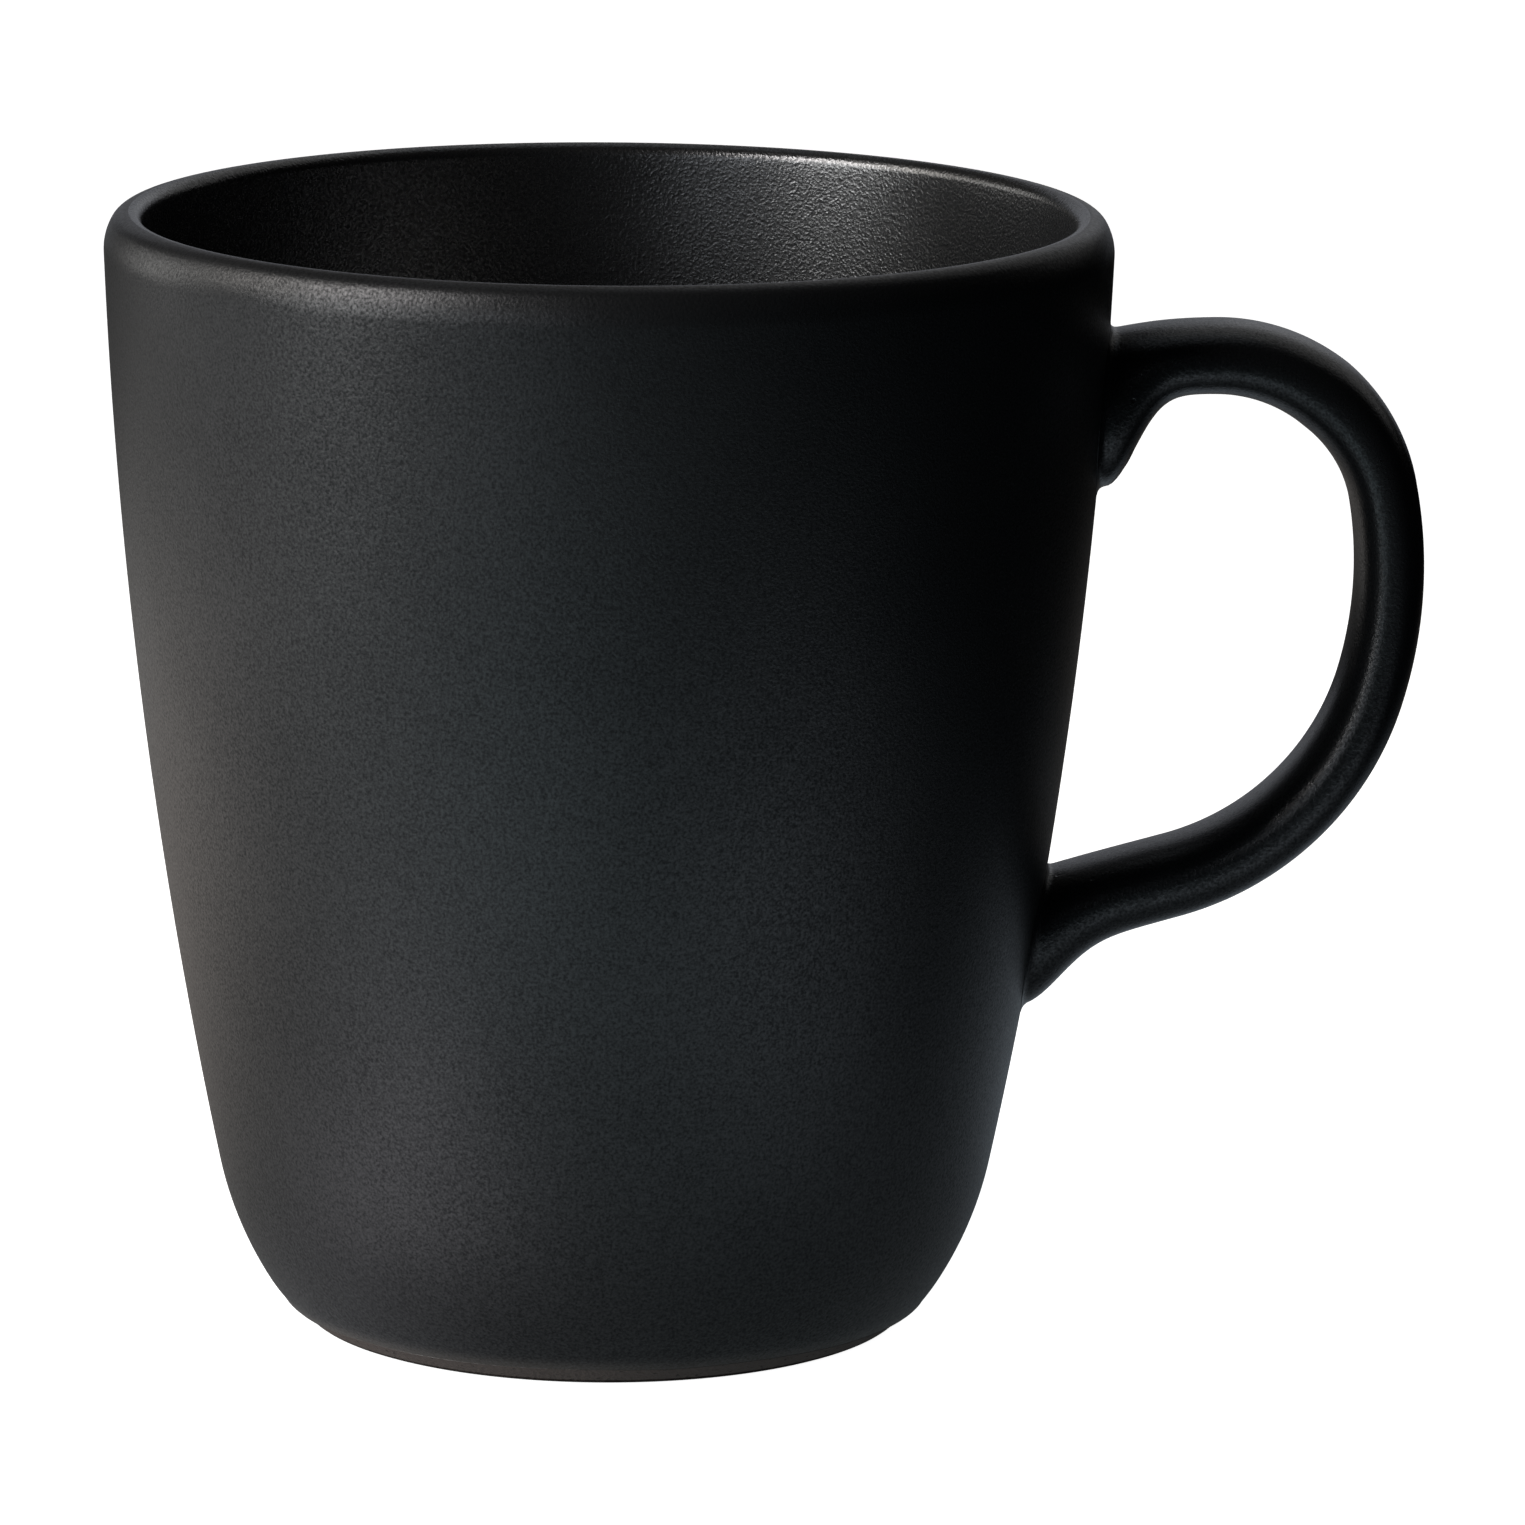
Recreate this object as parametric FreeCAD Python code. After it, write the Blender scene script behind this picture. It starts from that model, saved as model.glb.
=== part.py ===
# Stoneware mug: a thrown cup on a low foot ring, with a pulled strap handle luted to its wall.
# Millimetres, Z up. The cup's axis is Z, the foot ring stands on z = 0 and the handle is on +X.
import FreeCAD, Part
import math
import os

# Driving dimensions. A bend is (radius, turn): an arc tangent to the one before it, with the
# turn in degrees, anticlockwise above zero.
CREST = (42.8, 100.6)           # radius and height of the highest circle of the lip
OUTSIDE_BENDS = [               # from the crest, outwards and down to the glaze line
    (1.8, -60.0),               # round of the lip
    (4.8, -32.1),               # soft shoulder of the lip
    (497.6, -9.6),              # long wall, widest just under the lip
    (32.8, -24.4),              # heel
]
INSIDE_BENDS = [                # from the crest, inwards and down to the floor
    (1.2, 88.0),                # inner edge of the lip
    (470.0, -9.4),              # inner wall, thickening downwards
    (20.0, -78.6),              # corner of the floor
]
GLAZE = 0.35                    # thickness of every glaze coat

FOOT_OUTER = 26.8               # resting flat of the foot ring, outer radius
FOOT_INNER = 24.4               # resting flat of the foot ring, inner radius
FOOT_ROUND = 0.7                # rounding on both sides of the flat
RECESS_RADIUS = 22.6            # turned recess under the cup
RECESS_HEIGHT = 2.4

HANDLE_START = (39.4, 85.77)    # centre line of the strap, inside the wall at the upper root
HANDLE_HEADING = 16.0
HANDLE_BENDS = [
    (54.4, -16.0),              # out of the wall to the top of the arch
    (15.6, -39.0),              # shoulder, first half
    (14.8, -39.9),              # shoulder, second half and the tightest bend
    (38.2, -27.2),              # upright grip
    (25.5, -58.0),              # sweep back under the finger gap
    (600.0, -1.6),              # almost straight into the lower root
]
STRAP_WIDTH = 12.8
STRAP_THICKNESS = [6.1, 6.5, 6.8, 6.2, 6.3, 7.0, 7.2]    # at the start and at the end of each bend
STRAP_SQUARENESS = 2.4          # superellipse exponent of the section: 2 is a plain ellipse
SECTION_POINTS = 16
STATIONS = 36
UPPER_FLARE = (7.7, 3.35)       # extra depth under the strap at the wall, and its reach
LOWER_FLARE = (4.5, 4.2)
WALL_AT_UPPER_ROOT = 44.5       # radius of the cup's wall at each root
WALL_AT_LOWER_ROOT = 37.8
ROOT_WIDENING = 1.2             # extra width of the strap at the wall
UPRIGHT_REACH = 8.0             # sections turn upright over this distance from the wall
BEAD_REACH = 2.8                # slip bead around each root: how far it runs out along the strap
BEAD_RISE = 1.4                 # and how far it stands off the strap, before the dip
BEAD_DIP = 0.3                  # its far edge dips this far under the strap's surface
BEAD_STATIONS = 12
UPPER_BEAD_SPAN = (3.0, 8.6)    # stretch of the centre line that holds each bead
LOWER_BEAD_SPAN = (88.6, 95.2)


# End of an arc that starts at point with this heading; signed_radius is negative for a right turn.
def bend_end(point, heading, signed_radius, turn):
    a = math.radians(heading)
    b = math.radians(heading + turn)
    u = point[0] + signed_radius * (math.sin(b) - math.sin(a))
    v = point[1] + signed_radius * (math.cos(a) - math.cos(b))
    return (u, v)


# A point of the cup's profile, on the side away from the handle so that the seam is there.
def on_profile(point):
    return FreeCAD.Vector(-point[0], 0, point[1])


def line(first, second):
    return Part.makeLine(on_profile(first), on_profile(second))


def arc(first, middle, last):
    return Part.Arc(on_profile(first), on_profile(middle), on_profile(last)).toShape()


# Edges and corner points of a run of bends, moved sideways to the left of its travel.
def profile_run(start, heading, bends, left=0.0):
    a = math.radians(heading)
    points = [(start[0] - left * math.sin(a), start[1] + left * math.cos(a))]
    edges = []
    for radius, turn in bends:
        signed = math.copysign(radius, turn) - left
        middle = bend_end(points[-1], heading, signed, turn / 2)
        last = bend_end(points[-1], heading, signed, turn)
        edges.append(arc(points[-1], middle, last))
        points.append(last)
        heading += turn
    return edges, points


def outside_run(depth=0.0):
    return profile_run(CREST, 0.0, OUTSIDE_BENDS, -depth)


def inside_run(depth=0.0):
    return profile_run(CREST, 180.0, INSIDE_BENDS, depth)


def turned(edges):
    face = Part.Face(Part.Wire(Part.__sortEdges__(edges)))
    return face.revolve(FreeCAD.Vector(0, 0, 0), FreeCAD.Vector(0, 0, 1), 360)


# The whole space inside the cup's outer surface, taken in by depth: a plug to trim roots with.
def envelope(depth=0.0):
    edges, points = outside_run(depth)
    low = (points[-1][0], 0)
    edges += [line(points[-1], low), line(low, (0, 0)), line((0, 0), (0, points[0][1]))]
    edges.append(line((0, points[0][1]), points[0]))
    return turned(edges)


# Bare foot: a bevel under the glaze line, a rounded resting ring and a shallow turned recess.
def foot_edges(glaze_end):
    r = FOOT_ROUND
    bevel_end = (FOOT_OUTER + r, 0.45)
    inner_top = (RECESS_RADIUS + 0.6, RECESS_HEIGHT - 0.6)
    inner_start = (FOOT_INNER - 0.4 * r, 0.4 * r)
    recess_edge = (RECESS_RADIUS, RECESS_HEIGHT)
    return [
        line(glaze_end, bevel_end),
        arc(bevel_end, (FOOT_OUTER + 0.55 * r, 0.13), (FOOT_OUTER, 0)),
        line((FOOT_OUTER, 0), (FOOT_INNER, 0)),
        arc((FOOT_INNER, 0), (FOOT_INNER - 0.28 * r, 0.11 * r), inner_start),
        line(inner_start, inner_top),
        arc(inner_top, (RECESS_RADIUS + 0.4, RECESS_HEIGHT - 0.2), recess_edge),
        line(recess_edge, (0, RECESS_HEIGHT)),
    ]


def mug_body():
    outer, outer_points = outside_run(GLAZE)
    inner, inner_points = inside_run(GLAZE)
    floor = inner_points[-1]
    edges = outer + foot_edges(outer_points[-1]) + inner
    edges.append(line((0, RECESS_HEIGHT), (0, floor[1])))
    edges.append(line((0, floor[1]), floor))
    return turned(edges)


def outer_coat():
    face_side, face_points = outside_run()
    clay_side, clay_points = outside_run(GLAZE)
    ends = [line(face_points[0], clay_points[0]), line(face_points[-1], clay_points[-1])]
    return turned(face_side + clay_side + ends)


def liner_coat():
    face_side, face_points = inside_run()
    clay_side, clay_points = inside_run(GLAZE)
    top = (0, face_points[-1][1])
    bottom = (0, clay_points[-1][1])
    edges = face_side + clay_side + [line(face_points[0], clay_points[0])]
    edges += [line(face_points[-1], top), line(top, bottom), line(bottom, clay_points[-1])]
    return turned(edges)


# Position, heading and plain thickness of the strap at a distance along its centre line.
def strap_station(distance):
    point = HANDLE_START
    heading = HANDLE_HEADING
    for index, (radius, turn) in enumerate(HANDLE_BENDS):
        length = radius * math.radians(abs(turn))
        share = min(distance / length, 1.0)
        signed = math.copysign(radius, turn)
        if distance <= length or index == len(HANDLE_BENDS) - 1:
            break
        point = bend_end(point, heading, signed, turn)
        heading += turn
        distance -= length
    first, last = STRAP_THICKNESS[index], STRAP_THICKNESS[index + 1]
    place = bend_end(point, heading, signed, turn * share)
    return place, heading + turn * share, first + (last - first) * share


# Both flares die away from the wall as a bell curve: depth * exp(-(distance / reach)^2).
def bell(distance, reach):
    return math.exp(-(max(distance, 0.0) / reach) ** 2)


# Radius of the cup's long wall at a height.
def wall_radius(z):
    points = outside_run()[1]
    radius = OUTSIDE_BENDS[2][0]
    a = math.radians(OUTSIDE_BENDS[0][1] + OUTSIDE_BENDS[1][1])
    centre = (points[2][0] + radius * math.sin(a), points[2][1] - radius * math.cos(a))
    return centre[0] + math.sqrt(radius ** 2 - (z - centre[1]) ** 2)


# Height of the slip bead over the strap: a parabola that dies out away from the cup's wall.
def bead_height(point):
    off_wall = math.hypot(point.x, point.y) - wall_radius(point.z)
    share = max(-0.3, min(off_wall / BEAD_REACH, 1.0))
    return BEAD_RISE * (1 - share) ** 2 - BEAD_DIP


# Closed section across the centre line: a superellipse, deeper and wider where it meets the cup,
# and upright there.
def strap_section(distance, coat=0.0, with_bead=False):
    (x, z), heading, thickness = strap_station(distance)
    upper = z > CREST[1] / 2
    depth, reach = UPPER_FLARE if upper else LOWER_FLARE
    off_wall = x - (WALL_AT_UPPER_ROOT if upper else WALL_AT_LOWER_ROOT)
    flare = depth * bell(off_wall, reach)
    level = 0.0 if upper else -180.0
    a = math.radians(heading + (level - heading) * bell(off_wall, UPRIGHT_REACH))
    across = FreeCAD.Vector(-math.sin(a), 0, math.cos(a))
    beside = FreeCAD.Vector(0, 1, 0)
    centre = FreeCAD.Vector(x, 0, z) + across * (-0.5 * flare if upper else 0.5 * flare)
    half_depth = (thickness + flare) / 2 - coat
    half_width = (STRAP_WIDTH + ROOT_WIDENING * bell(off_wall, reach)) / 2 - coat
    seam = SECTION_POINTS // 4 if with_bead else 0      # the bead's seam runs on top of the strap
    points = []
    for i in range(seam, seam + SECTION_POINTS):
        t = 2 * math.pi * i / SECTION_POINTS
        y = math.copysign(abs(math.cos(t)) ** (2 / STRAP_SQUARENESS), math.cos(t))
        h = math.copysign(abs(math.sin(t)) ** (2 / STRAP_SQUARENESS), math.sin(t))
        point = centre + beside * (half_width * y) + across * (half_depth * h)
        if with_bead:
            rise = bead_height(point)
            point += beside * (rise * y) + across * (rise * h)
        points.append(point)
    curve = Part.BSplineCurve()
    curve.interpolate(Points=points, PeriodicFlag=True)
    return Part.Wire(curve.toShape())


# The strap with its ends still running on into the cup; coat is how much glaze is taken off.
def strap(coat=0.0):
    length = sum(radius * math.radians(abs(turn)) for radius, turn in HANDLE_BENDS)
    distances = [length * i / (STATIONS - 1) for i in range(STATIONS)]
    return Part.makeLoft([strap_section(d, coat) for d in distances], True, False)


# Slip bead around one root, with the strap and the cup taken away from its inside.
def slip_bead(span, cup, handle):
    step = (span[1] - span[0]) / (BEAD_STATIONS - 1)
    sections = [strap_section(span[0] + i * step, with_bead=True) for i in range(BEAD_STATIONS)]
    return Part.makeLoft(sections, True, False).cut(handle).cut(cup)


def main():
    glazed_strap = strap()
    clay_strap = strap(GLAZE)
    glazed_cup = envelope()
    clay_cup = envelope(GLAZE)
    nodes = {
        "mug_body": mug_body(),
        "outer_glaze": outer_coat().cut(glazed_strap),
        "liner_glaze": liner_coat(),
        "handle": clay_strap.cut(clay_cup),
        "handle_glaze": glazed_strap.cut(clay_strap).cut(clay_cup),
        "upper_slip": slip_bead(UPPER_BEAD_SPAN, glazed_cup, glazed_strap),
        "lower_slip": slip_bead(LOWER_BEAD_SPAN, glazed_cup, glazed_strap),
    }
    os.makedirs("parts", exist_ok=True)
    for name, shape in nodes.items():
        volumes = [round(solid.Volume, 2) for solid in shape.Solids]
        print(name, shape.ShapeType, volumes, shape.isValid(), shape.BoundBox)
        shape.exportStep("parts/" + name + ".step")


main()
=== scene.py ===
import math

import bmesh
import bpy
import numpy as np
from mathutils import Matrix, Vector


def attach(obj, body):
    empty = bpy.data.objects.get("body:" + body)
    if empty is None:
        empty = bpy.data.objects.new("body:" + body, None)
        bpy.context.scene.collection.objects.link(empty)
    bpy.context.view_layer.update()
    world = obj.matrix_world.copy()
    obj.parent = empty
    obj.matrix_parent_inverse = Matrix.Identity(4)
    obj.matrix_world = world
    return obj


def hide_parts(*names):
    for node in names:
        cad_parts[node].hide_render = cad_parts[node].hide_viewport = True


# A matt black stoneware mug, seen from a little above with its handle to the right.
# The mug's lengths are in millimetres and become metres in makeMesh; the studio's are in metres.

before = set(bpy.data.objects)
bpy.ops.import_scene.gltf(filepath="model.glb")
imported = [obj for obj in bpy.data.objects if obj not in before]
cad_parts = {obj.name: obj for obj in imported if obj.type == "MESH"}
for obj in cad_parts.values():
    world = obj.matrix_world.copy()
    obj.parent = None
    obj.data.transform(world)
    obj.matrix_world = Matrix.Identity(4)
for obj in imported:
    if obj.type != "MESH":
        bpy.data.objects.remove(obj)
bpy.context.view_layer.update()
print("frame loaded:", sorted(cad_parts))

mm = 0.001
turnSteps = 288          # facets round the cup


# The cup's profile. A bend is (radius, turn in degrees): an arc tangent to the one before.
cupShape = {
    "crest": (42.8, 100.6),
    "outsideBends": [(1.8, -60.0), (4.8, -32.1), (497.6, -9.6), (32.8, -24.4)],
    "outsideSteps": [14, 14, 64, 30],
    "insideBends": [(1.2, 88.0), (470.0, -9.4), (20.0, -78.6)],
    "insideSteps": [14, 56, 36],
    "coat": 0.35,            # glaze thickness
    "wallWander": 0.03,      # how unevenly the wall was made, always inwards
    "wanderFrom": (8, 20),   # the height where that starts, and the height it takes to grow
    "wanderTo": (101, 12),   # the height where it ends, and the height it takes to fade
    "inset": 0.02,           # keeps the finest facets inside the design's own
}

# The waves of the wall's unevenness: turns round the cup, size, phase, and how they lean.
wanderWaves = [(2, 1.0, 0.9, 31), (3, 0.6, 0.0, -19), (5, 0.4, 2.1, 23)]


# Points along tangent arcs: along one arc of signed radius R from heading a to heading b,
# p = start + R * (sin b - sin a, cos a - cos b). `left` moves the whole run to its left.
def arcRun(start, heading, bends, steps, left=0.0):
    a = math.radians(heading)
    point = np.array(start) + left * np.array([-math.sin(a), math.cos(a)])
    run = [point[None, :]]
    for (radius, turn), count in zip(bends, steps):
        signed = math.copysign(radius, turn) - left
        b = a + math.radians(turn) * np.arange(1, count + 1) / count
        arc = point + signed * np.stack([np.sin(b) - math.sin(a), math.cos(a) - np.cos(b)], -1)
        run.append(arc)
        point, a = arc[-1], b[-1]
    return np.concatenate(run)


# The outside and the inside of the wall, both from the crest down, `depth` into the wall.
def outsideRun(depth=0.0):
    bends, steps = cupShape["outsideBends"], cupShape["outsideSteps"]
    return arcRun(cupShape["crest"], 0, bends, steps, -depth)


def insideRun(depth=0.0):
    bends, steps = cupShape["insideBends"], cupShape["insideSteps"]
    return arcRun(cupShape["crest"], 180, bends, steps, depth)


outsideByHeight = outsideRun()[::-1]


# Radius of the cup's outside at a height, read off its own profile.
def wallRadius(z):
    return np.interp(z, outsideByHeight[:, 1], outsideByHeight[:, 0])


# Slow, smooth unevenness between 0 and 1: 0.5 + a sum of size * sin(turns * angle + phase +
# height / lean), one wave after another, over twice the sum of their sizes.
def wander(angle, height):
    waves = sum(size * np.sin(turns * angle + phase + height / lean)
                for turns, size, phase, lean in wanderWaves)
    return 0.5 + waves / (2 * sum(wave[1] for wave in wanderWaves))


# A mesh from points (n, 3) in millimetres and faces given as rows of point numbers. Points that
# fall on one another (at a pole) are merged, faces are turned outwards, and the mesh is smooth
# but for edges sharper than `crease` degrees.
def makeMesh(name, points, faces, attributes=None, crease=35):
    mesh = bpy.data.meshes.new(name)
    mesh.from_pydata((points * mm).tolist(), [], faces)
    for key, values in (attributes or {}).items():
        layer = mesh.attributes.new(key, "FLOAT", "POINT")
        layer.data.foreach_set("value", np.asarray(values, dtype=np.float32).ravel())
    work = bmesh.new()
    work.from_mesh(mesh)
    bmesh.ops.remove_doubles(work, verts=work.verts, dist=1e-7)
    loose = [edge for edge in work.edges if not edge.link_faces]
    bmesh.ops.delete(work, geom=loose, context="EDGES")
    bmesh.ops.recalc_face_normals(work, faces=work.faces)
    work.to_mesh(mesh)
    work.free()
    mesh.shade_smooth()
    mesh.set_sharp_from_angle(angle=math.radians(crease))
    piece = bpy.data.objects.new(name, mesh)
    bpy.context.scene.collection.objects.link(piece)
    return piece


# Quads of a grid whose columns close on themselves; its rows may close as well. A quad's corners
# are (i, j), (i, j + 1), (i + 1, j + 1) and (i + 1, j), numbered row by row.
def gridQuads(rows, columns, closeRows=False, flip=False):
    i = np.arange(rows if closeRows else rows - 1)[:, None]
    j = np.arange(columns)[None, :]
    ni, nj = (i + 1) % rows, (j + 1) % columns
    corners = [i * columns + j, i * columns + nj, ni * columns + nj, ni * columns + j]
    quads = np.stack(corners, -1).reshape(-1, 4)
    return (quads[:, ::-1] if flip else quads).tolist()


# Turns a closed profile (radius, height) about the cup's axis: x = r cos a, y = r sin a, after
# `shift` has moved each point a little. Rows whose radius is 0 become one point in makeMesh.
def turnProfile(profile, shift):
    angle = np.linspace(0, 2 * np.pi, turnSteps, endpoint=False)
    r, z = profile[:, 0][:, None], profile[:, 1][:, None]
    r, z = np.broadcast_arrays(r, z + 0 * angle[None, :])
    dr, dz = shift(angle[None, :], r, z)
    r, z = np.where(r > 0, np.maximum(r + dr, 0), 0), z + dz
    return np.stack([r * np.cos(angle), r * np.sin(angle), z], -1)


print("shape helpers ready")


# Inward unevenness, the same for every layer of the wall: dr = -inset - wallWander * wander,
# growing from nothing above the heel and falling to a quarter at the lip.
def wallShift(angle, r, z):
    (heel, heelReach), (lip, lipReach) = cupShape["wanderFrom"], cupShape["wanderTo"]
    share = np.clip((z - heel) / heelReach, 0, 1) * np.clip((lip - z) / lipReach, 0.25, 1)
    return -cupShape["inset"] - cupShape["wallWander"] * wander(angle, z) * share, 0 * z


outerGlazeShape = {
    "edgeRoll": 0.048,       # the coat draws in by this much where it stops above the foot
    "edgeReach": 1.1,        # and does so over this height
    "edgeWaver": 0.12,       # rise and fall of the line where it stops
    "noseLength": 0.8,       # how far its rounded edge sticks out, in half thicknesses
    "noseSteps": 9,
    "thinAndPaintedHighlightReach": 0.9,        # glaze is thin and pale this far from the foot line and the crest, where a highlight line is painted too
    "thinAndPaintedHighlightAtCrest": 0.2,      # though much less so at the crest
}


# How thin the glaze runs near one point of a profile, and so how strong the painted highlight line
# is there: exp(-(distance / reach)^2).
def thinAndPaintedHighlightNear(profile, point):
    return np.exp(-(np.hypot(*(profile - point).T) / outerGlazeShape["thinAndPaintedHighlightReach"]) ** 2)


# Outside coat: down along its face, round the foot line and back up along the clay. The nose is
# middle + half * cos(t) + along * noseLength * sin(t), for t from 0 to half a turn.
def makeOuterGlaze():
    spec = outerGlazeShape
    face, clay = outsideRun(), outsideRun(cupShape["coat"])
    end, root = face[-1], clay[-1]
    middle, half = (end + root) / 2, (end - root) / 2
    along = np.array([half[1], -half[0]])
    turn = np.linspace(0, np.pi, spec["noseSteps"])[1:-1, None]
    nose = middle + half * np.cos(turn) + along * np.sin(turn) * spec["noseLength"]
    profile = np.concatenate([face, nose, clay[::-1]])
    footLine = face[-1, 1]

    def shift(angle, r, z):
        dr, dz = wallShift(angle, r, z)
        near = np.exp(-((z - footLine) / spec["edgeReach"]) ** 2)
        faceSide = np.zeros(len(profile))
        faceSide[:len(face)] = 1
        waver = spec["edgeWaver"] * (np.sin(3 * angle + 1) + np.sin(7 * angle)) / 2
        roll = -spec["edgeRoll"] * near * faceSide[:, None]
        return dr + roll, dz + near * np.abs(waver)

    points = turnProfile(profile, shift)
    # paler where the glaze runs thin by the foot line and the crest; this pale line is also a
    # painted highlight along them
    thinAndPaintedHighlight = thinAndPaintedHighlightNear(profile, end) + spec["thinAndPaintedHighlightAtCrest"] * thinAndPaintedHighlightNear(profile, face[0])
    thinAndPaintedHighlight = thinAndPaintedHighlight[:, None] + 0 * points[..., 0]
    near = nearRoots(points.reshape(-1, 3))
    return makeMesh("outerGlazeCoat", points.reshape(-1, 3),
                    gridQuads(len(profile), turnSteps, closeRows=True),
                    {"thinGlazeAndPaintedHighlight": thinAndPaintedHighlight, "nearJoint": near})


rootArea = {
    "centres": np.array([[44.6, 0, 83.5], [39.8, 0, 36.5]]),
    "stretch": np.array([1.0, 1.0, 1.25]),      # the area is taller than it is wide
    "full": 5.625,           # within this distance of a root the share is 1
    "fade": 7.5,             # and it falls to 0 over this much more
}


# How close points are to a root of the handle: 1 + (full - distance) / fade, held in 0 to 1.
def nearRoots(points):
    apart = (points[:, None, :] - rootArea["centres"]) / rootArea["stretch"]
    away = np.linalg.norm(apart, axis=-1).min(1)
    return np.clip(1 + (rootArea["full"] - away) / rootArea["fade"], 0, 1)


# Inside coat: down its face to the middle of the floor, and back out and up along the clay.
def makeLinerGlaze():
    face, clay = insideRun(), insideRun(cupShape["coat"])
    shares = np.array([[0.66, 1], [0.33, 1], [0, 1]])      # of the corner's radius and height
    faceFloor, clayFloor = face[-1] * shares, clay[-1] * shares
    profile = np.concatenate([face, faceFloor, clayFloor[::-1], clay[::-1]])
    points = turnProfile(profile, wallShift)
    # paler where the liner runs thin at the crest, which is also a painted highlight along it
    thinAndPaintedHighlight = outerGlazeShape["thinAndPaintedHighlightAtCrest"] * thinAndPaintedHighlightNear(profile, face[0])
    thinAndPaintedHighlight = thinAndPaintedHighlight[:, None] + 0 * points[..., 0]
    return makeMesh("linerGlazeCoat", points.reshape(-1, 3),
                    gridQuads(len(profile), turnSteps, closeRows=True), {"thinGlazeAndPaintedHighlight": thinAndPaintedHighlight})


clayShape = {
    "flat": (24.4, 26.8),    # inner and outer radius of the foot ring's resting flat
    "bevelEnd": (27.5, 0.45),
    "outerRound": [(27.3, 0.27), (27.08, 0.11)],
    "innerRound": [(24.24, 0.06), (24.12, 0.28)],
    "recessSide": (23.2, 1.8),                   # where the ring's inner side ends
    "recessCorner": [(23.08, 2.1), (22.9, 2.3)],
    "recess": (22.6, 2.4),   # radius and height of the turned recess
    "recessSteps": 90,
    "toolPitch": 1.7,        # distance between the turning tool's rings
    "toolDepth": 0.05,
    "toolFade": 4,           # the rings fade out this close to the middle
}


# Points from one corner of a profile to the next, without the first.
def straight(start, end, steps):
    return np.linspace(start, end, steps + 1)[1:]


# The clay itself: foot bevel, resting ring, turned recess, and both faces behind the coats, which
# aren't seen and so take fewer points. The tool rings are
# height = recess + depth * (1 - cos(2 pi r / pitch)) / 2.
def makeClayCup():
    spec = clayShape
    outerEnd, innerEnd = outsideRun(cupShape["coat"])[-1], insideRun(cupShape["coat"])[-1]
    outer, inner = outsideRun(cupShape["coat"])[::3], insideRun(cupShape["coat"])[::2]
    outer[-1], inner[-1] = outerEnd, innerEnd
    flatIn, flatOut = spec["flat"]
    recessRadius, recessHeight = spec["recess"]
    r = np.linspace(recessRadius, 0, spec["recessSteps"])[1:]
    rings = spec["toolDepth"] * (1 - np.cos(2 * np.pi * r / spec["toolPitch"])) / 2
    recess = np.stack([r, recessHeight + rings * np.clip(r / spec["toolFade"], 0, 1)], -1)
    profile = np.concatenate([
        outer,
        straight(outer[-1], spec["bevelEnd"], 6),
        spec["outerRound"], [(flatOut, 0)],
        straight((flatOut, 0), (flatIn, 0), 5),
        spec["innerRound"],
        straight(spec["innerRound"][-1], spec["recessSide"], 5),
        spec["recessCorner"], [spec["recess"]],
        recess, [(0, inner[-1, 1])],
        inner[::-1][:-1],
    ])
    points = turnProfile(profile, wallShift)
    return makeMesh("clayCup", points.reshape(-1, 3),
                    gridQuads(len(profile), turnSteps, closeRows=True))


strapShape = {
    "start": (39.4, 85.77),
    "heading": 16.0,
    "bends": [(54.4, -16.0), (15.6, -39.0), (14.8, -39.9), (38.2, -27.2), (25.5, -58.0),
              (600.0, -1.6)],
    "width": 12.8,
    "thickness": [6.1, 6.5, 6.8, 6.2, 6.3, 7.0, 7.2],      # at the ends of the bends
    "squareness": 2.4,       # superellipse exponent of the section
    "flares": [(7.7, 3.35), (4.5, 4.2)],      # extra depth at each root, and its reach
    "wallAtRoots": (44.5, 37.8),              # how far out the wall stands at each root
    "widening": 1.2,         # extra width at the roots
    "uprightReach": 8.0,     # sections turn upright over this distance from the wall
    "alongSteps": 260,
    "roundSteps": 96,
    "firstStep": 0.2,        # the first section stands this far along the centre line
    "buried": 1.0,           # how deep the strap's ends sit in the wall
    "inset": 0.02,
}
strapLengths = np.array([r * math.radians(abs(t)) for r, t in strapShape["bends"]])
strapMarks = np.concatenate([[0], np.cumsum(strapLengths)])
strapLength = strapMarks[-1]


# Centre line at distances s: position, heading and plain thickness, arc by arc. On an arc of
# signed radius R from heading a, p = start + R * (sin b - sin a, cos a - cos b), b = a + s / R.
def strapLine(s):
    x, z, heading = np.zeros_like(s), np.zeros_like(s), np.zeros_like(s)
    point, a = np.array(strapShape["start"]), math.radians(strapShape["heading"])
    for index, (radius, turn) in enumerate(strapShape["bends"]):
        signed = math.copysign(radius, turn)
        b = a + (s - strapMarks[index]) / signed
        here = (s >= strapMarks[index]) | (index == 0)
        x = np.where(here, point[0] + signed * (np.sin(b) - math.sin(a)), x)
        z = np.where(here, point[1] + signed * (math.cos(a) - np.cos(b)), z)
        heading = np.where(here, b, heading)
        end = a + math.radians(turn)
        chord = [math.sin(end) - math.sin(a), math.cos(a) - math.cos(end)]
        point, a = point + signed * np.array(chord), end
    return x, z, heading, np.interp(s, strapMarks, strapShape["thickness"])


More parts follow.
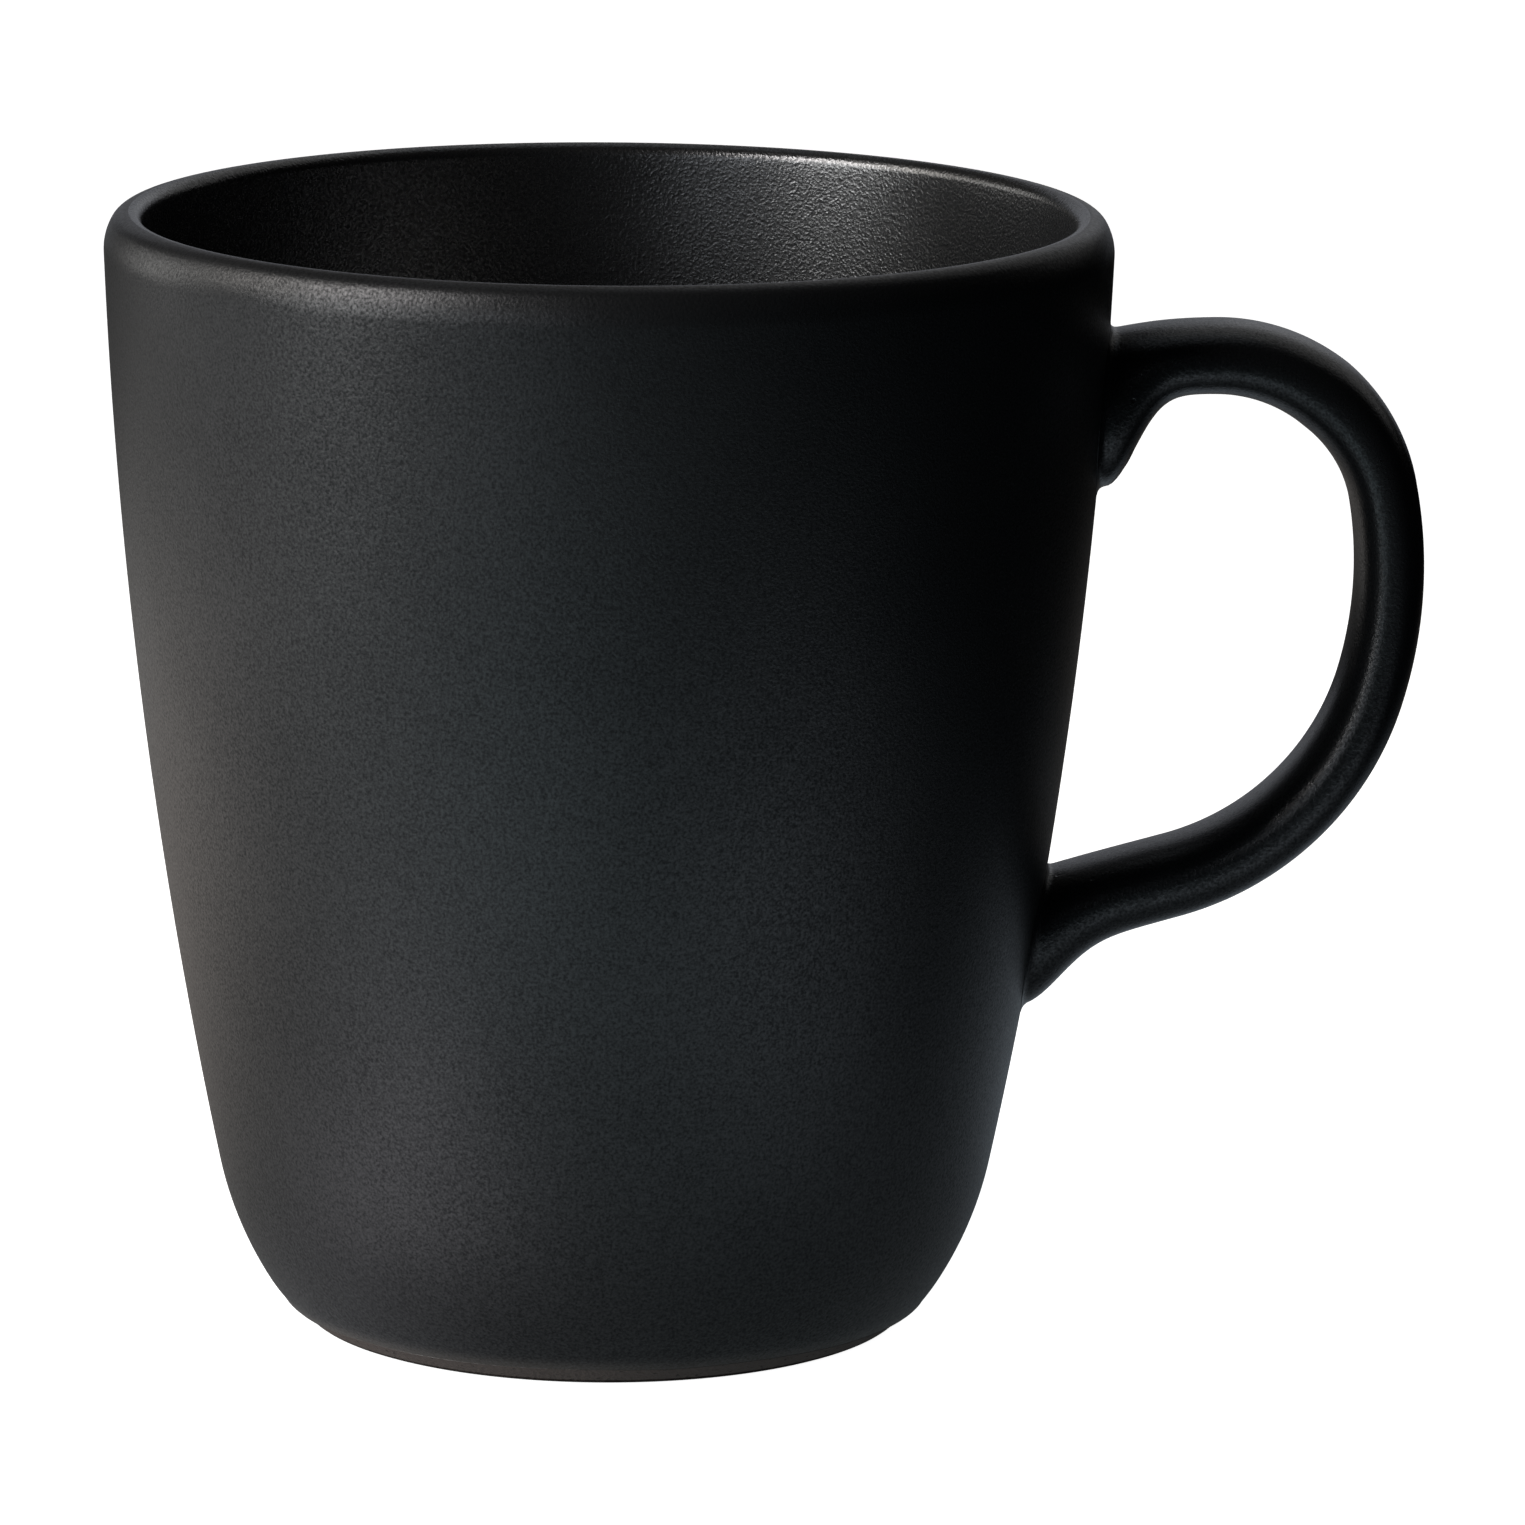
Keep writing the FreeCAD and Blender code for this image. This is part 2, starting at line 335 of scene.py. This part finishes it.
# Strap surface: centre line + half width * cos(t)^(2/n) across + half depth * sin(t)^(2/n)
# upright, with both flares dying away from the wall as exp(-(distance / reach)^2). All of a
# flare's extra depth goes to the strap's lower side.
def strapSurface(s, t):
    x, z, heading, thickness = strapLine(s)
    upper = s < strapLength / 2
    offWall = np.maximum(x - np.where(upper, *strapShape["wallAtRoots"]), 0)
    (upperDepth, upperReach), (lowerDepth, lowerReach) = strapShape["flares"]
    nearWall = np.exp(-(offWall / np.where(upper, upperReach, lowerReach)) ** 2)
    flare = np.where(upper, upperDepth, lowerDepth) * nearWall
    wide = strapShape["widening"] * nearWall
    power = 2 / strapShape["squareness"]
    c, v = np.cos(t), np.sin(t)
    y = np.sign(c) * np.abs(c) ** power * ((strapShape["width"] + wide) / 2 - strapShape["inset"])
    h = np.sign(v) * np.abs(v) ** power * ((thickness + flare) / 2 - strapShape["inset"])
    h = h + np.where(upper, -flare / 2, flare / 2)
    level = np.where(upper, 0.0, -math.pi)
    lean = heading + (level - heading) * np.exp(-(offWall / strapShape["uprightReach"]) ** 2)
    return np.stack([x - np.sin(lean) * h, y + 0 * x, z + np.cos(lean) * h], -1)


# Pushes points that are deeper in the wall than `depth` out to that depth: x and y are scaled by
# (wall radius - depth) / radius.
def holdInWall(points, depth):
    r = np.hypot(points[..., 0], points[..., 1])
    least = wallRadius(points[..., 2]) - depth
    scale = np.where(r < least, least / np.maximum(r, 1e-6), 1.0)
    return points * np.stack([scale, scale, np.ones_like(scale)], -1)


# The strap's glazed skin: rings of points along it, each end closed by a fan round its middle.
def makeHandleGlaze():
    s = np.linspace(strapShape["firstStep"], strapLength, strapShape["alongSteps"])[:, None]
    t = np.linspace(0, 2 * np.pi, strapShape["roundSteps"], endpoint=False)[None, :]
    points = holdInWall(strapSurface(s, t), strapShape["buried"])
    rows, columns = points.shape[:2]
    quads = gridQuads(rows, columns, flip=True)
    middles = np.stack([points[0].mean(0), points[-1].mean(0)])
    flat = np.concatenate([points.reshape(-1, 3), middles])
    firstMiddle, lastMiddle = np.full((2, columns), rows * columns) + [[0], [1]]
    j = np.arange(columns)
    nj, lastRow = (j + 1) % columns, (rows - 1) * columns
    first = np.stack([firstMiddle, nj, j], -1)
    last = np.stack([lastRow + j, lastRow + nj, lastMiddle], -1)
    faces = quads + first.tolist() + last.tolist()
    return makeMesh("handleGlazeCoat", flat, faces, {"nearJoint": nearRoots(flat)}, crease=50)


slipShape = {
    "topReach": 1.0,         # size of the rounding on top of each root
    "underReach": 0.7,       # and under it
    "roundSteps": 144,
    "curveSteps": 12,
    "sink": 0.15,            # how deep the bead's back sits in the wall
    "sinkShare": 0.025,      # and in the strap, as a share of the way to its middle
    "searchLength": 14,      # the strap comes out of the wall within this length
    "searchSteps": 700,
}


# Slip bead round one root. For each angle t the strap meets the wall at root(t); the bead runs
# from a point on the strap to a point on the wall as a Bezier curve whose corner is root(t):
# p(v) = (1-v)^2 strap + 2v(1-v) root + v^2 wall.
def makeSlip(name, upper):
    spec = slipShape
    t = np.linspace(0, 2 * np.pi, spec["roundSteps"], endpoint=False)
    fine = np.linspace(0, spec["searchLength"], spec["searchSteps"])
    fine = fine if upper else strapLength - fine
    points = strapSurface(fine[:, None], t[None, :])
    outside = np.hypot(points[..., 0], points[..., 1]) - wallRadius(points[..., 2])
    first = np.argmax(outside > 0, axis=0)
    before, after = np.take_along_axis(outside, np.stack([first - 1, first]), 0)
    rootAt = fine[first - 1] + (fine[first] - fine[first - 1]) * (-before / (after - before))
    root = strapSurface(rootAt, t)
    up = np.sin(t) if upper else -np.sin(t)
    reach = spec["underReach"] + (spec["topReach"] - spec["underReach"]) * (0.5 + 0.5 * up)
    onStrap = strapSurface(rootAt + (reach if upper else -reach), t)
    centre = root.mean(0)
    away = root - centre
    normal = root * [1, 1, 0]
    normal /= np.linalg.norm(normal, axis=-1, keepdims=True)
    away -= normal * (away * normal).sum(-1, keepdims=True)
    away /= np.linalg.norm(away, axis=-1, keepdims=True)
    onWall = root + away * reach[:, None]
    toWall = wallRadius(onWall[:, 2]) / np.hypot(onWall[:, 0], onWall[:, 1])
    onWall *= toWall[:, None] ** [1, 1, 0]
    v = np.linspace(0, 1, spec["curveSteps"])[:, None, None]
    face = (1 - v) ** 2 * onStrap + 2 * v * (1 - v) * root + v ** 2 * onWall
    inStrap = onStrap + (centre - onStrap) * spec["sinkShare"]
    inWall = onWall - normal * spec["sink"]
    back = root - normal * spec["sink"] + (centre - root) * spec["sinkShare"]
    ring = np.concatenate([face, inWall[None], back[None], inStrap[None]])
    flat = ring.reshape(-1, 3)
    quads = gridQuads(len(ring), spec["roundSteps"], closeRows=True)
    return makeMesh(name, flat, quads, {"nearJoint": nearRoots(flat)}, crease=50)


clayCup = makeClayCup()
outerGlazeCoat = makeOuterGlaze()
linerGlazeCoat = makeLinerGlaze()
handleGlazeCoat = makeHandleGlaze()
upperSlip = makeSlip("upperSlipBead", True)
lowerSlip = makeSlip("lowerSlipBead", False)
print("pieces made")


# sRGB hex to linear RGBA: c / 12.92 near black, ((c + 0.055) / 1.055)^2.4 above it.
def linearColour(hexCode):
    srgb = [int(hexCode[i:i + 2], 16) / 255 for i in (1, 3, 5)]
    return [c / 12.92 if c <= 0.04045 else ((c + 0.055) / 1.055) ** 2.4 for c in srgb] + [1.0]


# Adds one node to a tree, with its settings and its inputs: a value, or another node's output.
def addNode(tree, kind, settings=None, inputs=None):
    node = tree.nodes.new(kind)
    for key, value in (settings or {}).items():
        setattr(node, key, value)
    for key, value in (inputs or {}).items():
        socket = node.inputs[key]
        if isinstance(value, bpy.types.NodeSocket):
            tree.links.new(value, socket)
        else:
            socket.default_value = value
    return node


# A material with an empty tree but for its shader and output; `where` is the place on the object.
def newMaterial(name):
    material = bpy.data.materials.new(name)
    material.use_nodes = True
    tree = material.node_tree
    tree.nodes.clear()
    output = addNode(tree, "ShaderNodeOutputMaterial")
    shader = addNode(tree, "ShaderNodeBsdfPrincipled")
    tree.links.new(shader.outputs[0], output.inputs["Surface"])
    where = addNode(tree, "ShaderNodeTexCoord").outputs["Object"]
    return material, tree, shader, where


# What both glazes share: their colour where they run thin, which is also a painted highlight line,
# and the painted shade in a pinhole, how many cells hold a pinhole and where its edge lies, and
# which span of the noise the grain and the shine follow.
glazeHabits = {
    "thinAndPaintedHighlight": "#4A4642", "pinholeShade": "#040404", "pinholeShare": 0.22, "pinholeEdge": (0.10, 0.16),
    "cloudWeight": 0.25, "grainSpan": (0.3, 0.7), "sheenSpan": (0.42, 0.82),
}

# Satin-matt black glaze, sprayed on stoneware and full of fine crystals: almost black in itself, so
# that what the eye gets is a wide soft sheen, broken by a grain of a quarter of a millimetre. Faint
# clouds where the spray overlapped, a paler line where it runs thin that is also a painted
# highlight, and pinholes by the joints, painted dark as shade.
mattGlazeLook = {
    **glazeHabits, "dark": "#101112", "light": "#1B1C1D",
    "grainSize": 0.26, "grainHeight": 0.03, "cloudSize": 26.0, "pinholeSpacing": 1.5,
    "roughness": (0.35, 0.43), "sheen": (0.22, 0.78), "ior": 1.5,
}
# the same glaze lies a little thicker and smoother on the strap
handleGlazeLook = dict(mattGlazeLook, roughness=(0.27, 0.34))

# Satin black liner glaze, poured: glossier, and pebbly like orange peel, so that its highlight
# breaks into bright and dark grains.
satinLinerLook = {
    **glazeHabits, "dark": "#0E0F10", "light": "#161718",
    "grainSize": 0.28, "grainHeight": 0.050, "cloudSize": 22.0, "pinholeSpacing": 3.0,
    "roughness": (0.24, 0.31), "sheen": (0.40, 1.30), "ior": 1.70,
}


# The grain sets how rough the glaze is, how much it shines and its bumps; the clouds tint it and
# shift its shine: shine follows grain + cloudWeight * cloud. A pinhole lowers the surface and is
# painted dark as shade.
def glaze(name, look):
    material, tree, shader, where = newMaterial(name)
    smooth, rough = look["roughness"]
    dull, bright = look["sheen"]
    grain = addNode(tree, "ShaderNodeTexNoise", None,
                    {"Vector": where, "Scale": 1 / (look["grainSize"] * mm), "Detail": 1.5,
                     "Roughness": 0.6}).outputs["Fac"]
    cloud = addNode(tree, "ShaderNodeTexNoise", None,
                    {"Vector": where, "Scale": 1 / (look["cloudSize"] * mm),
                     "Detail": 4.0}).outputs["Fac"]
    base = addNode(tree, "ShaderNodeMix", {"data_type": "RGBA"},
                   {"Factor": cloud, 6: linearColour(look["dark"]), 7: linearColour(look["light"])})
    # paler where the glaze runs thin, a tint that is also a painted highlight line at the crest and
    # foot line
    thinAndPaintedHighlight = addNode(tree, "ShaderNodeAttribute", {"attribute_name": "thinGlazeAndPaintedHighlight"})
    paler = addNode(tree, "ShaderNodeMix", {"data_type": "RGBA"},
                    {"Factor": thinAndPaintedHighlight.outputs["Fac"], 6: base.outputs[2],
                     7: linearColour(look["thinAndPaintedHighlight"])})
    # pinholes: a few cells near the joints hold a tiny pit each, painted dark as the shade in it
    cells = addNode(tree, "ShaderNodeTexVoronoi", {"feature": "F1"},
                    {"Vector": where, "Scale": 1 / (look["pinholeSpacing"] * mm)})
    chance = addNode(tree, "ShaderNodeSeparateColor", None, {"Color": cells.outputs["Color"]})
    joint = addNode(tree, "ShaderNodeAttribute", {"attribute_name": "nearJoint"})
    allowed = addNode(tree, "ShaderNodeMath", {"operation": "LESS_THAN"},
                      {0: chance.outputs[0], 1: look["pinholeShare"]})
    pit = addNode(tree, "ShaderNodeMapRange", None,
                  {"Value": cells.outputs["Distance"], "From Min": look["pinholeEdge"][0],
                   "From Max": look["pinholeEdge"][1], "To Min": 1.0, "To Max": 0.0})
    pitHere = addNode(tree, "ShaderNodeMath", {"operation": "MULTIPLY"},
                      {0: pit.outputs[0], 1: allowed.outputs[0]})
    holes = addNode(tree, "ShaderNodeMath", {"operation": "MULTIPLY"},
                    {0: pitHere.outputs[0], 1: joint.outputs["Fac"]}).outputs[0]
    # the pinholes' dark colour is painted shade
    colour = addNode(tree, "ShaderNodeMix", {"data_type": "RGBA"},
                     {"Factor": holes, 6: paler.outputs[2], 7: linearColour(look["pinholeShade"])})
    roughness = addNode(tree, "ShaderNodeMapRange", None,
                        {"Value": grain, "From Min": look["grainSpan"][0],
                         "From Max": look["grainSpan"][1], "To Min": rough, "To Max": smooth})
    clouded = addNode(tree, "ShaderNodeMath", {"operation": "MULTIPLY_ADD"},
                      {0: cloud, 1: look["cloudWeight"], 2: grain})
    sheen = addNode(tree, "ShaderNodeMapRange", None,
                    {"Value": clouded.outputs[0], "From Min": look["sheenSpan"][0],
                     "From Max": look["sheenSpan"][1], "To Min": dull, "To Max": bright})
    height = addNode(tree, "ShaderNodeMath", {"operation": "SUBTRACT"}, {0: grain, 1: holes})
    bump = addNode(tree, "ShaderNodeBump", None,
                   {"Height": height.outputs[0], "Distance": look["grainHeight"] * mm})
    tree.links.new(colour.outputs[2], shader.inputs["Base Color"])
    tree.links.new(roughness.outputs[0], shader.inputs["Roughness"])
    tree.links.new(sheen.outputs[0], shader.inputs["Specular IOR Level"])
    tree.links.new(bump.outputs[0], shader.inputs["Normal"])
    shader.inputs["IOR"].default_value = look["ior"]
    return material


# Dark stained stoneware, turned and left bare: dry, slightly rough, with sandy specks and a warm
# brown cast beside the glaze.
bareClayLook = {
    "dark": "#564D48", "light": "#6A605A", "speck": "#3A332F",
    "sandSize": 0.45, "patchSize": 9.0, "speckSpan": (0.62, 0.7),
    "roughness": 0.82, "sandHeight": 0.2,
}


# Slow patches tint the clay, and the sand gives its specks and its bumps.
def bareClay(name, look):
    material, tree, shader, where = newMaterial(name)
    patch = addNode(tree, "ShaderNodeTexNoise", None,
                    {"Vector": where, "Scale": 1 / (look["patchSize"] * mm), "Detail": 4.0})
    sand = addNode(tree, "ShaderNodeTexNoise", None,
                   {"Vector": where, "Scale": 1 / (look["sandSize"] * mm), "Detail": 3.0})
    base = addNode(tree, "ShaderNodeMix", {"data_type": "RGBA"},
                   {"Factor": patch.outputs["Fac"], 6: linearColour(look["dark"]),
                    7: linearColour(look["light"])})
    speck = addNode(tree, "ShaderNodeMapRange", None,
                    {"Value": sand.outputs["Fac"], "From Min": look["speckSpan"][0],
                     "From Max": look["speckSpan"][1]})
    colour = addNode(tree, "ShaderNodeMix", {"data_type": "RGBA"},
                     {"Factor": speck.outputs[0], 6: base.outputs[2],
                      7: linearColour(look["speck"])})
    bump = addNode(tree, "ShaderNodeBump", None,
                   {"Height": sand.outputs["Fac"], "Distance": look["sandHeight"] * mm})
    tree.links.new(colour.outputs[2], shader.inputs["Base Color"])
    tree.links.new(bump.outputs[0], shader.inputs["Normal"])
    shader.inputs["Roughness"].default_value = look["roughness"]
    return material


mattGlazeMaterial = glaze("mattBlackGlaze", mattGlazeLook)
handleGlazeMaterial = glaze("mattBlackHandleGlaze", handleGlazeLook)
satinLinerMaterial = glaze("satinBlackLiner", satinLinerLook)
bareClayMaterial = bareClay("bareDarkStoneware", bareClayLook)
finishes = [
    (clayCup, bareClayMaterial), (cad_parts["handle"], bareClayMaterial),
    (outerGlazeCoat, mattGlazeMaterial), (linerGlazeCoat, satinLinerMaterial),
    (handleGlazeCoat, handleGlazeMaterial), (upperSlip, handleGlazeMaterial),
    (lowerSlip, handleGlazeMaterial),
]
for piece, material in finishes:
    piece.data.materials.clear()
    piece.data.materials.append(material)
print("materials made")


standsFor = [
    (clayCup, "mug_body", "stoneware"), (outerGlazeCoat, "outer_glaze", "matt_glaze"),
    (linerGlazeCoat, "liner_glaze", "satin_liner"), (handleGlazeCoat, "handle_glaze", "matt_glaze"),
    (upperSlip, "upper_slip", "glazed_slip"), (lowerSlip, "lower_slip", "glazed_slip"),
]
for piece, node, slotName in standsFor:
    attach(piece, "root")
    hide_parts(node)


studio = {
    "floorSize": 6.0, "floorColours": ("#F0F0EE", "#F2F2F0"), "floorPatches": 3.0,
    "floorRoughness": 0.9, "floorLight": 0.95,
    "seenSurroundings": 1.0, "litSurroundings": 0.001,
    "glowSize": 1.6, "glowHeight": 0.0004,
    "lampsFace": (0, 0, 0.05),
}
# A tall soft window on the left, in panes, and faint wide lamps behind and above.
# Each has its place in metres, its size, its power in watts and its colour.
softboxes = {
    "windowHigh": ((-0.709, -0.410, 0.624), 0.42, 4.7, "#FFFBFB"),
    "windowLow": ((-0.858, -0.495, 0.189), 0.42, 3.15, "#FDFEFF"),
    "windowBack": ((-0.858, 0.495, 0.189), 0.42, 1.0, "#FFFDFA"),
    "windowSide": ((-0.850, -0.050, 0.520), 0.50, 2.0, "#FFFAF4"),
    "windowFront": ((-0.495, -0.858, 0.189), 0.42, 0.72, "#F0F6FF"),
    "behind": ((0.389, 0.674, 0.595), 0.8, 0.50, "#FFFFFF"),
    "backdrop": ((0.000, 0.946, 0.133), 0.8, 0.70, "#F1F5FF"),
    "above": ((0.000, 0.423, 0.956), 0.6, 0.20, "#ECF5FF"),
}
# What the bright table throws back at the mug, in soft pools.
# Each has its middle (x, y) and reach in metres, its strength and its colour.
tablePools = [
    ((-0.330, -0.050), 0.20, 0.90, "#F8FCFF"),
    ((-0.067, -0.167), 0.11, 0.62, "#D8F5FF"),
    ((-0.167, 0.067), 0.11, 0.57, "#FFEEE1"),
    ((-0.050, -0.050), 0.03, 0.85, "#FFF5FD"),
    ((0.085, -0.100), 0.055, 0.62, "#E8F3FF"),
    ((0.070, 0.071), 0.06, 0.35, "#E2F1FF"),
    ((0.040, 0.260), 0.11, 0.20, "#FFF8F2"),
    ((-0.180, 0.240), 0.10, 0.45, "#FFFCF8"),
]
cameraSpec = {
    "place": (0, -0.8345, 0.2261),
    "pan": 0.0168, "tilt": 0.2074, "roll": 0.0088,      # radians
    "lens": 223.4, "sensor": 36, "nearest": 0.01,
}


# A square lamp facing the mug; the camera doesn't see it.
def addSoftbox(name, place, size, power, colour):
    light = bpy.data.lights.new(name, "AREA")
    light.size = size
    light.energy = power
    light.color = linearColour(colour)[:3]
    lamp = bpy.data.objects.new(name, light)
    lamp.visible_camera = False
    turn = (Vector(place) - Vector(studio["lampsFace"])).to_track_quat("Z", "Y")
    lamp.matrix_world = Matrix.Translation(place) @ turn.to_matrix().to_4x4()
    bpy.context.scene.collection.objects.link(lamp)


for name, spec in softboxes.items():
    addSoftbox(name + "Softbox", *spec)


# A level square of the studio, centred under the mug.
def addPlane(name, size, height, material):
    mesh = bpy.data.meshes.new(name)
    half = size / 2
    corners = [(-half, -half), (half, -half), (half, half), (-half, half)]
    mesh.from_pydata([(x, y, height) for x, y in corners], [], [(0, 1, 2, 3)])
    mesh.materials.append(material)
    plane = bpy.data.objects.new(name, mesh)
    bpy.context.scene.collection.objects.link(plane)
    return plane


# The glow is a sum of pools, each strength * exp(-(distance / reach)^2).
def tableGlow():
    material = bpy.data.materials.new("tableGlow")
    material.use_nodes = True
    tree = material.node_tree
    tree.nodes.clear()
    where = addNode(tree, "ShaderNodeTexCoord").outputs["Object"]
    total = (0, 0, 0)
    for middle, reach, strength, colour in tablePools:
        away = addNode(tree, "ShaderNodeVectorMath", {"operation": "DISTANCE"},
                       {0: where, 1: (*middle, studio["glowHeight"])})
        share = addNode(tree, "ShaderNodeMath", {"operation": "DIVIDE"},
                        {0: away.outputs["Value"], 1: reach})
        square = addNode(tree, "ShaderNodeMath", {"operation": "MULTIPLY"},
                         {0: share.outputs[0], 1: share.outputs[0]})
        fall = addNode(tree, "ShaderNodeMath", {"operation": "POWER"},
                       {0: math.exp(-1), 1: square.outputs[0]})
        tint = [strength * c for c in linearColour(colour)[:3]]
        light = addNode(tree, "ShaderNodeVectorMath", {"operation": "SCALE"},
                        {0: tint, "Scale": fall.outputs[0]})
        total = addNode(tree, "ShaderNodeVectorMath", {"operation": "ADD"},
                        {0: total, 1: light.outputs[0]}).outputs[0]
    glow = addNode(tree, "ShaderNodeEmission", None, {"Color": total, "Strength": 1.0})
    addNode(tree, "ShaderNodeOutputMaterial", None, {"Surface": glow.outputs[0]})
    return material


# Pale matt table top with hardly visible patches, bright enough to give some light of its own.
def paleTable():
    material, tree, shader, where = newMaterial("paleMattTable")
    tone = addNode(tree, "ShaderNodeTexNoise", None,
                   {"Vector": where, "Scale": studio["floorPatches"]})
    first, second = studio["floorColours"]
    colour = addNode(tree, "ShaderNodeMix", {"data_type": "RGBA"},
                     {"Factor": tone.outputs["Fac"], 6: linearColour(first),
                      7: linearColour(second)})
    tree.links.new(colour.outputs[2], shader.inputs["Base Color"])
    shader.inputs["Roughness"].default_value = studio["floorRoughness"]
    shader.inputs["Emission Color"].default_value = (1, 1, 1, 1)
    shader.inputs["Emission Strength"].default_value = studio["floorLight"]
    return material


glowPlane = addPlane("tableGlow", studio["glowSize"], studio["glowHeight"], tableGlow())
glowPlane.visible_camera = False
glowPlane.visible_shadow = False
floor = addPlane("floor", studio["floorSize"], 0, paleTable())
floor.visible_diffuse = False
floor.visible_glossy = False


# White surroundings that are seen, but light the mug hardly at all.
def makeSurroundings():
    world = bpy.data.worlds.new("studioSurroundings")
    world.use_nodes = True
    tree = world.node_tree
    tree.nodes.clear()
    seen = addNode(tree, "ShaderNodeBackground", None,
                   {"Color": (1, 1, 1, 1), "Strength": studio["seenSurroundings"]})
    lit = addNode(tree, "ShaderNodeBackground", None,
                  {"Color": (1, 1, 1, 1), "Strength": studio["litSurroundings"]})
    path = addNode(tree, "ShaderNodeLightPath")
    either = addNode(tree, "ShaderNodeMixShader", None,
                     {0: path.outputs["Is Camera Ray"], 1: lit.outputs[0], 2: seen.outputs[0]})
    addNode(tree, "ShaderNodeOutputWorld", None, {"Surface": either.outputs[0]})
    return world


bpy.context.scene.world = makeSurroundings()
bpy.context.scene.view_settings.view_transform = "Standard"


# The camera looks along `forward`, turned right by pan and down by tilt, and rolls about it:
# right = cos(roll) * level + sin(roll) * upright, up = cos(roll) * upright - sin(roll) * level.
def addCamera(spec):
    camera = bpy.data.objects.new("camera", bpy.data.cameras.new("camera"))
    bpy.context.scene.collection.objects.link(camera)
    camera.data.lens = spec["lens"]
    camera.data.sensor_width = spec["sensor"]
    camera.data.clip_start = spec["nearest"]
    pan, tilt, roll = spec["pan"], spec["tilt"], spec["roll"]
    ahead = [math.sin(pan) * math.cos(tilt), math.cos(pan) * math.cos(tilt)]
    forward = np.array([*ahead, -math.sin(tilt)])
    level = np.array([math.cos(pan), -math.sin(pan), 0])
    upright = np.cross(level, forward)
    right = math.cos(roll) * level + math.sin(roll) * upright
    up = math.cos(roll) * upright - math.sin(roll) * level
    turn = np.eye(4)
    turn[:3, :3] = np.stack([right, up, -forward], 1)
    turn[:3, 3] = spec["place"]
    camera.matrix_world = Matrix(turn.tolist())
    return camera


bpy.context.scene.camera = addCamera(cameraSpec)
print("studio ready")

bpy.context.view_layer.update()
